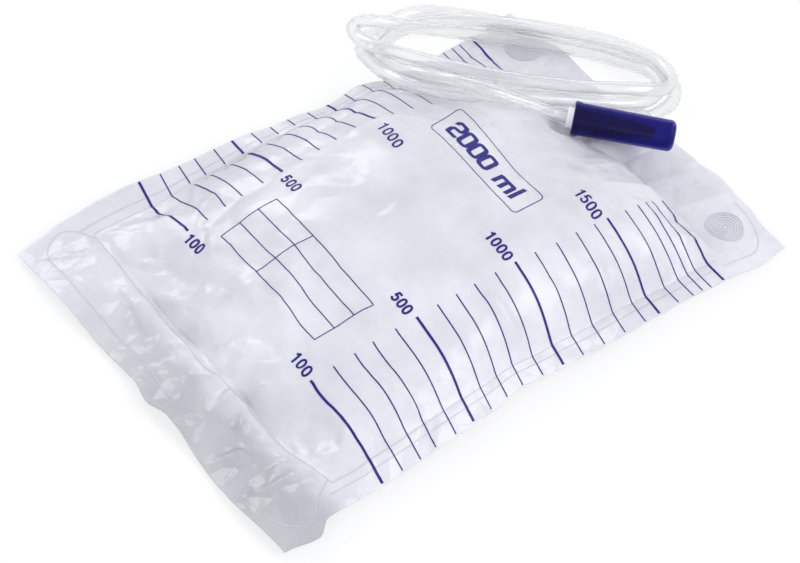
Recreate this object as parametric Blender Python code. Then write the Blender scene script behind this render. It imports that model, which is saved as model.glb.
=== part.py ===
"""Urine drainage bag lying on a table: two welded films blown up into a flat pillow, an inlet
with a non-return valve inside, and a clear tube wound in a loose coil, with a capped connector.

Metres, +Z up. +X runs across the bag, +Y towards the inlet edge, and the table is z = 0.
"""
import math

import bmesh
import bpy
import numpy as np
from mathutils import Matrix, Vector

MM = 0.001

# Films
FILM_WIDTH = 0.200
FILM_LENGTH = 0.300
FILM_THICKNESS = 0.00025
PIECE_GAP = 0.0003
SIDE_FLANGE = 0.0115
END_STRIP = 0.034
SEAM_LIFT_REACH = 0.040
LEFT_EDGE_LIFT = 0.009
RIGHT_EDGE_LIFT = 0.006

# The pillow: its rise, the place of its crown from the bag's middle, and how it falls off to each side
POUCH_RISE = 0.042
CROWN_PLACE = 0.004
LEFT_FALL = (3.0, 1.1)
RIGHT_FALL = (4.0, 1.2)
TOP_FALL = (2.0, 0.5)
BOTTOM_FALL = (4.0, 1.0)
BOTTOM_LEAN = 0.4

# Where the coil lies on the film: the film's left edge lies flat there, and the pillow is pressed in
COIL_PRESS = 0.24
COIL_PRESS_START = 0.015
COIL_PRESS_RUN = 0.050
COIL_PRESS_SIDE = 0.045
COIL_PRESS_FADE = 0.040
EDGE_PRESS_START = 0.035
STRIP_WAVE = 0.003
STRIP_WAVE_PITCH = 0.074
STRIP_WAVE_BAND = 0.016

# How the film's four edges lie beside their flat places: (place along, shift in millimetres). The
# places run evenly along each edge, from end to end
LEFT_EDGE_LIE = ((-150, 0), (-122, -3), (-95, -3), (-60, 1), (-30, 1), (0, 4.5), (22, 7.5), (46, 4),
                 (62, 6.5), (90, 3), (120, 2), (150, -2))
RIGHT_EDGE_LIE = ((-150, 0), (-135, 4), (-126, -1.5), (-97, -1.5), (-56, -2.5), (-34, -4), (-16, -6.5),
                  (8, -4), (32, -2.5), (78, -1.5), (105, 0), (130, 2), (150, 0))
BOTTOM_EDGE_LIE = ((-100, 0), (-58, 0), (-10, 1), (5, -2), (16, 1), (66, -2), (100, 0))
TOP_EDGE_LIE = ((-100, 1), (-60, 4), (-40, 2), (-26, -3), (0, 0), (20, 5), (36, 5), (48, 7), (70, 4),
                (88, 0), (100, -1))

# How high the side welds stand over the table: (place along, height in millimetres)
LEFT_SEAM_LIFT = ((-150, 0), (-122, 1.5), (-82, 2.5), (-58, 7), (-40, 8), (-20, 10.5), (0, 12), (150, 12))
RIGHT_SEAM_LIFT = ((-150, 0), (-122, 6), (-90, 10), (-50, 12), (-18, 11), (40, 9.5), (85, 5.5), (116, 4.5),
                   (150, 0))

# Main folds over the pouch's bottom end: start and end in shares of the film's half width and half
# length, height and half width in shares of the pouch's rise
FRONT_FOLDS = (((-0.17, -0.80), (-0.11, -0.56), 0.067, 0.12), ((-0.06, -0.79), (0.08, -0.57), -0.071, 0.14))
FOLD_FADE = 0.005

# Inlet sleeve between the films, which stands out a little past their edge, and the film valve over
# its inner end
INLET_AXIS_HEIGHT = 0.0056
INLET_WALL = 0.0007
INLET_PROUD = 0.002
INLET_LENGTH = 0.042
INLET_TENT_WIDTH = 0.018
VALVE_WALL = 0.0003
VALVE_OVERLAP = 0.008
VALVE_LENGTH = 0.056
VALVE_WIDTH = 0.024
VALVE_GRIP_SPARE = 0.001
VALVE_SLIT = 0.0009
VALVE_LIE = 0.0009

# Tube, connector and cap. The cap's mouth is placed from the middle of the film's inlet edge
TUBE_DIAMETER = 0.0068
TUBE_DEPTH = 0.022
TUBE_POINTS = 79
SOCKET_DEPTH = 0.012
SOCKET_RADIUS = 0.0051
SOCKET_OUTSIDE = 0.003
FLANGE_LENGTH = 0.0025
NOZZLE_END = 0.040
NOZZLE_ROOT_RADIUS = 0.0044
NOZZLE_TIP_RADIUS = 0.0031
NOZZLE_BORE_RADIUS = 0.0019
NOZZLE_STEP = 0.0003
CAP_LENGTH = 0.050
CAP_MOUTH_RADIUS = 0.00825
CAP_END_RADIUS = 0.00775
CAP_WALL = 0.0013
CAP_ROUNDING = 0.003
CAP_MOUTH_PLACE = (-0.0110, -0.0415, 0.0200)
CAP_HEADING = 41.0
CAP_TRAVEL = 0.042

# The loose coil, in its own frame, in millimetres. Each turn has its reach to the right and to the
# left, then eight widths and eight heights of the tube's middle, from its right side on. The coil's
# middle is placed from the middle of the film's inlet edge, in metres
COIL_PLACE = (-0.062, -0.033)
COIL_HEADING = 44.1
COIL_POINTS_PER_TURN = 16
COIL_REACHES = (86.5, 78, 73.5, 83, 78.5, 69.5, 73)
COIL_WIDTHS = (
    (44, 41, 36, 51, 40.5, 55, 37.5, 30.5),
    (41, 32.5, 25.5, 27.5, 42, 32, 26, 32),
    (41, 35.5, 30, 41, 43, 44.5, 51.5, 44),
)
COIL_HEIGHTS = (
    (4.0, 5.0, 5.7, 4.8, 8.0, 24.6, 24.7, 15.5),
    (11.4, 4.5, 6.2, 9.9, 21.2, 28.9, 25.6, 27.0),
    (17.6, 12.7, 12.6, 4.8, 6.8, 25.9, 39.9, 23.3),
)
COIL_START = 0.11
COIL_END = 2.70

# Route from the inlet to the coil (x, y from the inlet edge, height), and from the coil into the
# connector (along the cap's axis from its mouth, beside it, above it), in millimetres
START_LEG = ((0, -9, 5.6), (0, 0, 5.6), (0, 10, 5.1), (-1.3, 20, 4.6), (-5.5, 27.5, 4.5), (-12, 32, 4.5),
             (-19.4, 33.6, 4.5))
END_LEG = ((-19, -3.2, 6.0), (-11, -0.8, 1.6), (-5, 0, 0), (2, 0, 0))

ROUND_SIDES = 20
HALF_WIDTH = FILM_WIDTH / 2
HALF_LENGTH = FILM_LENGTH / 2
POUCH_HALF_WIDTH = HALF_WIDTH - SIDE_FLANGE
POUCH_HALF_LENGTH = HALF_LENGTH - END_STRIP
INLET_OUTER_END = HALF_LENGTH + INLET_PROUD
INLET_INNER_END = INLET_OUTER_END - INLET_LENGTH
VALVE_START = INLET_INNER_END + VALVE_OVERLAP
VALVE_END = VALVE_START - VALVE_LENGTH
TUBE_START = INLET_OUTER_END - TUBE_DEPTH
CAP_MOUTH = (CAP_MOUTH_PLACE[0], HALF_LENGTH + CAP_MOUTH_PLACE[1], CAP_MOUTH_PLACE[2])
TUBE_RADIUS = TUBE_DIAMETER / 2
INLET_BORE_RADIUS = TUBE_RADIUS + PIECE_GAP
INLET_RADIUS = INLET_BORE_RADIUS + INLET_WALL
CAP_BORE_RADIUS = CAP_MOUTH_RADIUS - CAP_WALL


def ease(value):
    """Smooth step from 0 to 1."""
    value = min(max(value, 0.0), 1.0)
    return value * value * (3 - 2 * value)


def read_lie(table, share):
    """Shift of an edge at a share (-1 to 1) of its half length, smooth between the table's points."""
    place = share * table[-1][0]
    for (start, low), (end, high) in zip(table, table[1:]):
        if place <= end:
            return (low + (high - low) * ease((place - start) / (end - start))) * MM
    return table[-1][1] * MM


def film_plan(s, t):
    """Where the flat film's point (s, t) lies in plan."""
    across = s / HALF_WIDTH
    along = t / HALF_LENGTH
    shift = read_lie(RIGHT_EDGE_LIE, along) if s > 0 else read_lie(LEFT_EDGE_LIE, along)
    x = s + shift * abs(across) ** 5
    edge = read_lie(TOP_EDGE_LIE if t > 0 else BOTTOM_EDGE_LIE, across)
    return x, t + edge * abs(along) ** 3


def back_height(s, t):
    """Underside of the back film: flat on the table in the middle, lifted at the side welds."""
    side = abs(s)
    share = t / HALF_LENGTH
    lying = 1 - ease((t - EDGE_PRESS_START) / COIL_PRESS_RUN) if s < 0 else 1
    seam = read_lie(LEFT_SEAM_LIFT if s < 0 else RIGHT_SEAM_LIFT, share)
    edge = (LEFT_EDGE_LIFT if s < 0 else RIGHT_EDGE_LIFT) * (1 - share ** 4)
    if side < POUCH_HALF_WIDTH:
        height = seam * ease((side - POUCH_HALF_WIDTH + SEAM_LIFT_REACH) / SEAM_LIFT_REACH)
    else:
        height = seam + (edge - seam) * (side - POUCH_HALF_WIDTH) / SIDE_FLANGE
    strip = ease((-t - POUCH_HALF_LENGTH + STRIP_WAVE_BAND) / STRIP_WAVE_BAND)
    wave = 0.5 - 0.5 * math.cos(2 * math.pi * (s + HALF_WIDTH) / STRIP_WAVE_PITCH)
    return height * lying + STRIP_WAVE * strip * wave


def cap_bed(x, y):
    """Highest a film may lie under the cap, also along the way that the cap pulls off."""
    heading = math.radians(CAP_HEADING)
    dx = x - CAP_MOUTH[0]
    dy = y - CAP_MOUTH[1]
    along = dx * math.cos(heading) + dy * math.sin(heading)
    beside = dy * math.cos(heading) - dx * math.sin(heading)
    beyond = max(-SOCKET_OUTSIDE - along, along - CAP_LENGTH - CAP_TRAVEL, 0.0)
    bed = CAP_MOUTH[2] - CAP_MOUTH_RADIUS - FILM_THICKNESS - PIECE_GAP
    return bed + (beside * beside + beyond * beyond) / (2 * CAP_MOUTH_RADIUS)


def fall(share, power, fullness):
    """How a pillow falls off from 1 at its crown to 0 at its weld."""
    return max(0.0, 1 - min(share, 1.0) ** power) ** fullness


def pillow_height(s, t):
    """Height of the pillow over its welds."""
    across = fall(abs(s) / POUCH_HALF_WIDTH, *(LEFT_FALL if s < 0 else RIGHT_FALL))
    if t > CROWN_PLACE:
        along = fall((t - CROWN_PLACE) / (POUCH_HALF_LENGTH - CROWN_PLACE), *TOP_FALL)
    else:
        share = (CROWN_PLACE - t) / (POUCH_HALF_LENGTH + CROWN_PLACE)
        along = fall(share, *BOTTOM_FALL) * (1 - BOTTOM_LEAN * share)
    pressed = COIL_PRESS * ease((t - COIL_PRESS_START) / COIL_PRESS_RUN)
    pressed *= ease((COIL_PRESS_SIDE - s) / COIL_PRESS_FADE)
    return POUCH_RISE * across * along * (1 - pressed)


def fold_height(s, t):
    """Height of the main folds, sharp along each one and fading at its ends and at the weld."""
    total = 0.0
    for (s0, t0), (s1, t1), height, width in FRONT_FOLDS:
        ahead_s = s - s0 * HALF_WIDTH
        ahead_t = t - t0 * HALF_LENGTH
        run_s = (s1 - s0) * HALF_WIDTH
        run_t = (t1 - t0) * HALF_LENGTH
        length = math.hypot(run_s, run_t)
        reach = width * POUCH_RISE
        along = (ahead_s * run_s + ahead_t * run_t) / length
        beside = abs(ahead_s * run_t - ahead_t * run_s) / length
        fade = ease((along + reach) / (2 * reach)) * ease((length + reach - along) / (2 * reach))
        total += height * POUCH_RISE * fade * math.exp(-beside / reach)
    return total * ease((POUCH_HALF_LENGTH - abs(t)) / FOLD_FADE)


def front_height(s, t):
    """Underside of the front film: on the back film in the welds, and the pillow between them."""
    welded = back_height(s, t) + FILM_THICKNESS + PIECE_GAP
    tent_top = INLET_AXIS_HEIGHT + INLET_RADIUS + PIECE_GAP + VALVE_WALL + PIECE_GAP
    tent_run = ease((t - VALVE_END) / (INLET_INNER_END - VALVE_GRIP_SPARE - VALVE_END))
    tent = tent_top * max(0.0, 1 - (s / INLET_TENT_WIDTH) ** 2) ** 2 * tent_run
    height = max(welded + pillow_height(s, t) + fold_height(s, t), tent)
    return max(min(height, cap_bed(*film_plan(s, t))), welded)


def banded(bands):
    """Places from the first band's start to the last one's end, with each band cut into equal cells."""
    places = [bands[0][0]]
    for start, end, cells in bands:
        places += [start + (end - start) * (i + 1) / cells for i in range(cells)]
    return places


def film_columns():
    half = banded(((0.0, INLET_TENT_WIDTH, 4), (INLET_TENT_WIDTH, POUCH_HALF_WIDTH - 0.016, 4),
                   (POUCH_HALF_WIDTH - 0.016, POUCH_HALF_WIDTH, 4), (POUCH_HALF_WIDTH, HALF_WIDTH, 2)))
    return [-place for place in reversed(half[1:])] + half


def film_rows():
    pouch = POUCH_HALF_LENGTH
    return banded(((-HALF_LENGTH, -pouch, 4), (-pouch, -pouch + 0.012, 3),
                   (-pouch + 0.012, pouch - 0.020, 10), (pouch - 0.020, pouch, 5), (pouch, HALF_LENGTH, 4)))


def material(name, colour, roughness, alpha=1.0):
    made = bpy.data.materials.new(name)
    made.use_nodes = True
    shader = made.node_tree.nodes["Principled BSDF"]
    shader.inputs["Base Color"].default_value = (*colour, 1.0)
    shader.inputs["Roughness"].default_value = roughness
    shader.inputs["Metallic"].default_value = 0.0
    shader.inputs["Alpha"].default_value = alpha
    return made


def add_object(name, data, finish, place=None):
    made = bpy.data.objects.new(name, data)
    if place is not None:
        made.matrix_world = place
    data.materials.append(finish)
    bpy.context.collection.objects.link(made)
    return made


def smooth_mesh(name, work):
    """Mesh from a bmesh, shaded smooth except at sharp edges."""
    bmesh.ops.recalc_face_normals(work, faces=work.faces)
    mesh = bpy.data.meshes.new(name)
    work.to_mesh(mesh)
    work.free()
    mesh.shade_smooth()
    mesh.set_sharp_from_angle(angle=math.radians(40))
    return mesh


def film_mesh(name, height):
    """A film as one closed sheet: its underside from a height rule, its thickness set upright."""
    columns = film_columns()
    rows = film_rows()
    wide = len(columns)
    points = np.array([(*film_plan(s, t), height(s, t)) for t in rows for s in columns])
    grid = points.reshape(len(rows), wide, 3)
    rise_y, rise_x = np.gradient(grid[:, :, 2])
    run_x = np.gradient(grid[:, :, 0], axis=1)
    run_y = np.gradient(grid[:, :, 1], axis=0)
    slope = np.sqrt(1 + (rise_x / run_x) ** 2 + (rise_y / run_y) ** 2)
    upper = points.copy()
    upper[:, 2] += FILM_THICKNESS * np.minimum(slope, 2.5).ravel()
    work = bmesh.new()
    low = [work.verts.new(p) for p in points]
    top = [work.verts.new(p) for p in upper]
    for row in range(len(rows) - 1):
        for column in range(wide - 1):
            a = row * wide + column
            b, c, d = a + 1, a + 1 + wide, a + wide
            for side in (low, top):
                work.faces.new((side[a], side[b], side[c]))
                work.faces.new((side[a], side[c], side[d]))
    border = [(i, i + 1) for i in range(wide - 1)]
    border += [(i * wide + wide - 1, (i + 1) * wide + wide - 1) for i in range(len(rows) - 1)]
    last = (len(rows) - 1) * wide
    border += [(last + i, last + i + 1) for i in range(wide - 1)]
    border += [(i * wide, (i + 1) * wide) for i in range(len(rows) - 1)]
    for a, b in border:
        work.faces.new((low[a], low[b], top[b], top[a]))
    return smooth_mesh(name, work)


def turned_mesh(name, profile):
    """Solid turned about +X from a closed outline of (place along, radius) points."""
    work = bmesh.new()
    rings = []
    for along, radius in profile:
        if radius == 0:
            rings.append([work.verts.new((along, 0, 0))])
            continue
        angles = [2 * math.pi * i / ROUND_SIDES for i in range(ROUND_SIDES)]
        rings.append([work.verts.new((along, radius * math.cos(a), radius * math.sin(a))) for a in angles])
    for first, second in zip(rings, rings[1:] + rings[:1]):
        for i in range(ROUND_SIDES):
            j = (i + 1) % ROUND_SIDES
            corners = [first[i % len(first)], first[j % len(first)], second[j % len(second)],
                       second[i % len(second)]]
            corners = list(dict.fromkeys(corners))
            if len(corners) > 2:
                work.faces.new(corners)
    return smooth_mesh(name, work)


def cap_place():
    """Frame at the cap's mouth, +X along its axis towards the closed end."""
    return Matrix.Translation(CAP_MOUTH) @ Matrix.Rotation(math.radians(CAP_HEADING), 4, "Z")


def make_films(front_finish, back_finish):
    add_object("back_film", film_mesh("back_film", back_height), back_finish)
    add_object("front_film", film_mesh("front_film", front_height), front_finish)


def make_inlet_port(finish):
    length = INLET_OUTER_END - INLET_INNER_END
    profile = ((0, INLET_RADIUS), (length, INLET_RADIUS), (length, INLET_BORE_RADIUS), (0, INLET_BORE_RADIUS))
    place = Matrix.Translation((0, INLET_INNER_END, INLET_AXIS_HEIGHT)) @ Matrix.Rotation(math.pi / 2, 4, "Z")
    add_object("inlet_port", turned_mesh("inlet_port", profile), finish, place)


def valve_section(share, inset):
    """Ring of the valve: round over the sleeve at share 0, a flat mouth at share 1."""
    grip = (VALVE_START - INLET_INNER_END + VALVE_GRIP_SPARE) / (VALVE_START - VALVE_END)
    flat = ease((share - grip) / (1 - grip))
    round_radius = INLET_RADIUS + PIECE_GAP + VALVE_WALL - inset
    half_width = round_radius + (VALVE_WIDTH / 2 - VALVE_WALL - inset - round_radius) * flat
    half_height = round_radius + (VALVE_SLIT / 2 + VALVE_WALL - inset - round_radius) * flat
    middle = INLET_AXIS_HEIGHT + (VALVE_LIE + VALVE_SLIT / 2 - INLET_AXIS_HEIGHT) * flat
    y = VALVE_START + (VALVE_END - VALVE_START) * share
    angles = [2 * math.pi * i / ROUND_SIDES for i in range(ROUND_SIDES)]
    return [(half_width * math.cos(a), y, middle + half_height * math.sin(a)) for a in angles]


def make_valve(finish):
    """Film sleeve that grips the inlet's inner end and flattens to a mouth that backflow closes."""
    shares = (0, 0.16, 0.3, 0.46, 0.62, 0.78, 1)
    work = bmesh.new()
    outside = [[work.verts.new(p) for p in valve_section(share, 0.0)] for share in shares]
    inside = [[work.verts.new(p) for p in valve_section(share, VALVE_WALL)] for share in shares]
    loops = outside + inside[::-1]
    for first, second in zip(loops, loops[1:] + loops[:1]):
        for i in range(ROUND_SIDES):
            j = (i + 1) % ROUND_SIDES
            work.faces.new((first[i], first[j], second[j], second[i]))
    add_object("non_return_valve", smooth_mesh("non_return_valve", work), finish)


def connector_profile():
    flange = CAP_BORE_RADIUS - PIECE_GAP
    socket_bore = TUBE_RADIUS + PIECE_GAP
    socket_floor = SOCKET_DEPTH - SOCKET_OUTSIDE
    profile = [(-SOCKET_OUTSIDE, socket_bore), (-SOCKET_OUTSIDE, SOCKET_RADIUS), (0, SOCKET_RADIUS),
               (0, flange), (FLANGE_LENGTH, flange), (FLANGE_LENGTH, SOCKET_RADIUS),
               (SOCKET_DEPTH, SOCKET_RADIUS)]
    steps = 3
    for step in range(steps):
        share = step / (steps - 1)
        start = SOCKET_DEPTH + (NOZZLE_END - SOCKET_DEPTH) * step / steps
        end = SOCKET_DEPTH + (NOZZLE_END - SOCKET_DEPTH) * (step + 1) / steps
        radius = NOZZLE_ROOT_RADIUS + (NOZZLE_TIP_RADIUS - NOZZLE_ROOT_RADIUS) * share
        profile += [(start, radius + NOZZLE_STEP), (end, radius - NOZZLE_STEP)]
    profile += [(NOZZLE_END, NOZZLE_BORE_RADIUS), (socket_floor, NOZZLE_BORE_RADIUS),
                (socket_floor, socket_bore)]
    return profile


def make_connector(finish):
    add_object("tube_connector", turned_mesh("tube_connector", connector_profile()), finish, cap_place())


def make_cap(finish):
    """Blue cap pushed over the connector, open at its mouth and closed at its rounded end."""
    profile = [(0, CAP_BORE_RADIUS), (0, CAP_MOUTH_RADIUS), (CAP_LENGTH - CAP_ROUNDING, CAP_END_RADIUS)]
    for step in range(1, 5):
        angle = math.pi / 2 * step / 4
        profile.append((CAP_LENGTH - CAP_ROUNDING + CAP_ROUNDING * math.sin(angle),
                        CAP_END_RADIUS - CAP_ROUNDING + CAP_ROUNDING * math.cos(angle)))
    floor = CAP_LENGTH - CAP_WALL
    bore_end = CAP_BORE_RADIUS - (CAP_MOUTH_RADIUS - CAP_END_RADIUS)
    profile += [(CAP_LENGTH, 0), (floor, 0), (floor, bore_end)]
    add_object("connector_cap", turned_mesh("connector_cap", profile), finish, cap_place())


def smooth_between(values, place):
    """Value of a smooth curve through a list at a place counted in list steps."""
    index = min(int(place), len(values) - 2)
    share = place - index
    near = [np.asarray(values[min(max(index + k, 0), len(values) - 1)], float) for k in (-1, 0, 1, 2)]
    before, here, there, after = near
    bend = 2 * before - 5 * here + 4 * there - after
    twist = 3 * (here - there) + after - before
    return here + 0.5 * share * (there - before + share * (bend + share * twist))


def coil_point(turns):
    """Point of the coil after a number of turns from its right side."""
    widths = [width for one_turn in COIL_WIDTHS for width in one_turn]
    heights = [height for one_turn in COIL_HEIGHTS for height in one_turn]
    angle = 2 * math.pi * turns
    along = math.cos(angle) * smooth_between(COIL_REACHES, 2 * turns) * MM
    beside = math.sin(angle) * smooth_between(widths, 8 * turns) * MM
    heading = math.radians(COIL_HEADING)
    x = COIL_PLACE[0] + along * math.cos(heading) - beside * math.sin(heading)
    y = HALF_LENGTH + COIL_PLACE[1] + along * math.sin(heading) + beside * math.cos(heading)
    return x, y, smooth_between(heights, 8 * turns) * MM


def tube_route():
    """The tube's whole way: out of the inlet, round the coil, and into the connector's socket."""
    route = [(0, TUBE_START, INLET_AXIS_HEIGHT)]
    route += [(x * MM, HALF_LENGTH + y * MM, z * MM) for x, y, z in START_LEG]
    steps = round((COIL_END - COIL_START) * COIL_POINTS_PER_TURN)
    route += [coil_point(COIL_START + (COIL_END - COIL_START) * step / steps) for step in range(steps + 1)]
    end = SOCKET_DEPTH - SOCKET_OUTSIDE - PIECE_GAP
    for along, beside, above in END_LEG + ((end / MM, 0, 0),):
        route.append(tuple(cap_place() @ Vector((along * MM, beside * MM, above * MM))))
    return route


def even_points(route, count):
    """Points at even steps along the smooth curve through a route."""
    fine = np.array([smooth_between(route, place) for place in np.linspace(0, len(route) - 1, 1500)])
    run = np.concatenate(([0], np.cumsum(np.linalg.norm(np.diff(fine, axis=0), axis=1))))
    even = np.linspace(0, run[-1], count)
    return np.stack([np.interp(even, run, fine[:, axis]) for axis in range(3)], axis=1)


def make_tube(finish):
    curve = bpy.data.curves.new("drainage_tube", "CURVE")
    curve.dimensions = "3D"
    points = even_points(tube_route(), TUBE_POINTS)
    spline = curve.splines.new("POLY")
    spline.points.add(len(points) - 1)
    for point, place in zip(spline.points, points):
        point.co = (*place, 1.0)
    curve.bevel_depth = TUBE_RADIUS
    curve.bevel_resolution = 2
    curve.use_fill_caps = True
    add_object("drainage_tube", curve, finish)


def main():
    for old in list(bpy.data.objects):
        bpy.data.objects.remove(old, do_unlink=True)
    film = material("clear_film", (0.86, 0.87, 0.92), 0.25, 0.6)
    back = material("back_film", (0.84, 0.85, 0.90), 0.3, 0.7)
    tube = material("clear_tube", (0.90, 0.91, 0.93), 0.12, 0.5)
    port = material("inlet_sleeve", (0.88, 0.89, 0.92), 0.2, 0.7)
    valve = material("valve_film", (0.85, 0.86, 0.90), 0.3, 0.6)
    connector = material("connector_blue", (0.06, 0.06, 0.30), 0.35)
    cap = material("cap_blue", (0.02, 0.015, 0.22), 0.25)
    make_films(film, back)
    make_inlet_port(port)
    make_valve(valve)
    make_tube(tube)
    make_connector(connector)
    make_cap(cap)


main()
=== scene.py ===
"""Urine drainage bag on a pale table: milky film with navy print, a coil of clear tube, a blue cap.

Metres, +Z up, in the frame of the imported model. The films, the print, the tube and the small
mouldings are built here in fine detail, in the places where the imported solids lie.
"""

import math
import random

import bmesh
import bpy
import numpy as np
from mathutils import Matrix, Vector
from mathutils.bvhtree import BVHTree


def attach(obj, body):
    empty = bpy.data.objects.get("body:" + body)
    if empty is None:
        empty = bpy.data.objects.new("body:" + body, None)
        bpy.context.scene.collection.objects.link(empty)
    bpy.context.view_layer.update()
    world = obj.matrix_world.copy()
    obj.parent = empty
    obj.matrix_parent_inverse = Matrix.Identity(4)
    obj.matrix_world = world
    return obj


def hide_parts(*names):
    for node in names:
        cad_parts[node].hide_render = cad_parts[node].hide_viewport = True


MM = 0.001
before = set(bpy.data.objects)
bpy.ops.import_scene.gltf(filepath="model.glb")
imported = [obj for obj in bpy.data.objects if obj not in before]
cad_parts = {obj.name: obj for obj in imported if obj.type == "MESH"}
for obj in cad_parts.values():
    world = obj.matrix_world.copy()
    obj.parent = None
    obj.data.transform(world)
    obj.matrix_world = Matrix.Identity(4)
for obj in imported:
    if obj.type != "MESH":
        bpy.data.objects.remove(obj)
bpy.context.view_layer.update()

# Films, as in the solid model
FILM_WIDTH = 0.200
FILM_LENGTH = 0.300
FILM_THICKNESS = 0.00025
PIECE_GAP = 0.0003
SIDE_FLANGE = 0.0115
END_STRIP = 0.034
SEAM_LIFT_REACH = 0.040
LEFT_EDGE_LIFT = 0.009
RIGHT_EDGE_LIFT = 0.006
POUCH_RISE = 0.042
CROWN_PLACE = 0.004
LEFT_FALL = (3.0, 1.1)
RIGHT_FALL = (4.0, 1.2)
TOP_FALL = (2.0, 0.5)
BOTTOM_FALL = (4.0, 1.0)
BOTTOM_LEAN = 0.4
COIL_PRESS = 0.24
COIL_PRESS_START = 0.015
COIL_PRESS_RUN = 0.050
COIL_PRESS_SIDE = 0.045
COIL_PRESS_FADE = 0.040
EDGE_PRESS_START = 0.035
STRIP_WAVE = 0.003
STRIP_WAVE_PITCH = 0.074
STRIP_WAVE_BAND = 0.016

# How the film's edges lie beside their flat places, and how high the side welds stand, in
# millimetres: (place along, shift)
LEFT_EDGE_LIE = ((-150, 0), (-122, -3), (-95, -3), (-60, 1), (-30, 1), (0, 4.5), (22, 7.5), (46, 4),
                 (62, 6.5), (90, 3), (120, 2), (150, -2))
RIGHT_EDGE_LIE = ((-150, 0), (-135, 4), (-126, -1.5), (-97, -1.5), (-56, -2.5), (-34, -4), (-16, -6.5),
                  (8, -4), (32, -2.5), (78, -1.5), (105, 0), (130, 2), (150, 0))
BOTTOM_EDGE_LIE = ((-100, 0), (-58, 0), (-10, 1), (5, -2), (16, 1), (66, -2), (100, 0))
TOP_EDGE_LIE = ((-100, 1), (-60, 4), (-40, 2), (-26, -3), (0, 0), (20, 5), (36, 5), (48, 7), (70, 4),
                (88, 0), (100, -1))
LEFT_SEAM_LIFT = ((-150, 0), (-122, 1.5), (-82, 2.5), (-58, 7), (-40, 8), (-20, 10.5), (0, 12), (150, 12))
RIGHT_SEAM_LIFT = ((-150, 0), (-122, 6), (-90, 10), (-50, 12), (-18, 11), (40, 9.5), (85, 5.5), (116, 4.5),
                   (150, 0))

# Inlet sleeve and the valve on its inner end
INLET_AXIS_HEIGHT = 0.0056
INLET_WALL = 0.0007
INLET_PROUD = 0.002
INLET_LENGTH = 0.042
INLET_TENT_WIDTH = 0.018
VALVE_WALL = 0.0003
VALVE_OVERLAP = 0.008
VALVE_LENGTH = 0.056
VALVE_WIDTH = 0.024
VALVE_GRIP_SPARE = 0.001
VALVE_SLIT = 0.0009
VALVE_LIE = 0.0009

# Tube, connector and cap
TUBE_DIAMETER = 0.0068
TUBE_WALL = 0.0010
TUBE_DEPTH = 0.022
SOCKET_DEPTH = 0.012
SOCKET_RADIUS = 0.0051
SOCKET_OUTSIDE = 0.003
FLANGE_LENGTH = 0.0025
NOZZLE_END = 0.040
NOZZLE_ROOT_RADIUS = 0.0044
NOZZLE_TIP_RADIUS = 0.0031
NOZZLE_BORE_RADIUS = 0.0019
NOZZLE_STEP = 0.0003
CAP_LENGTH = 0.050
CAP_MOUTH_RADIUS = 0.00825
CAP_END_RADIUS = 0.00775
CAP_WALL = 0.0013
CAP_ROUNDING = 0.003
CAP_MOUTH_PLACE = (-0.0110, -0.0415, 0.0200)
CAP_HEADING = 41.0
CAP_TRAVEL = 0.042

# The tube's loose coil, as in the solid model
COIL_PLACE = (-0.062, -0.033)
COIL_HEADING = 44.1
COIL_POINTS_PER_TURN = 16
COIL_REACHES = (86.5, 78, 73.5, 83, 78.5, 69.5, 73)
COIL_WIDTHS = (44, 41, 36, 51, 40.5, 55, 37.5, 30.5, 41, 32.5, 25.5, 27.5, 42, 32, 26, 32, 41, 35.5, 30,
               41, 43, 44.5, 51.5, 44)
COIL_HEIGHTS = (4.0, 5.0, 5.7, 4.8, 8.0, 24.6, 24.7, 15.5, 11.4, 4.5, 6.2, 9.9, 21.2, 28.9, 25.6, 27.0,
                17.6, 12.7, 12.6, 4.8, 6.8, 25.9, 39.9, 23.3)
COIL_START = 0.11
COIL_END = 2.70
START_LEG = ((0, -9, 5.6), (0, 0, 5.6), (0, 10, 5.1), (-1.3, 20, 4.6), (-5.5, 27.5, 4.5), (-12, 32, 4.5),
             (-19.4, 33.6, 4.5))
END_LEG = ((-19, -3.2, 6.0), (-11, -0.8, 1.6), (-5, 0, 0), (2, 0, 0))

# Camera
LOOK_AT = (0.0105, -0.0158, 0.0)
CAMERA_DISTANCE = 0.9186
CAMERA_AZIMUTH = 45.07
CAMERA_ELEVATION = 48.03
CAMERA_ROLL = -7.63
CAMERA_LENS = 90.0

# Crushed look of the film: facets in cells a metre, their depth, the shares of it that the small ones
# have and the middle keeps, and the smooth middle as axis, middle, half its size and fade
FOLD_CELLS = 62
SMALL_FOLD_CELLS = 150
SMALL_FOLD_SHIFT = 0.37
FOLD_DEPTH = 0.0016
SMALL_FOLDS = 0.16
FOLD_MIDDLE = 0.10
SMOOTH_PATCH = (("X", 0.0, 0.045, 0.045), ("Y", 0.010, 0.070, 0.050))
FILM_GRAIN = 0.00005
FILM_ROUGHNESS = (0.20, 0.32)

# Bottom strip: a painted shade, darker as if the strip were turned from the light: where the painted
# shade starts and is full down and across the strip, how far this wanders, its colour, and the extra depth of
# its folds
STRIP_PAINTED_SHADE_ALONG = (-0.106, -0.122)
STRIP_PAINTED_SHADE_ACROSS = (-0.090, 0.020)
STRIP_PAINTED_SHADE_WANDER = 0.020
STRIP_PAINTED_SHADE = (0.72, 0.72, 0.715)
STRIP_FOLDS = 0.5

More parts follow.
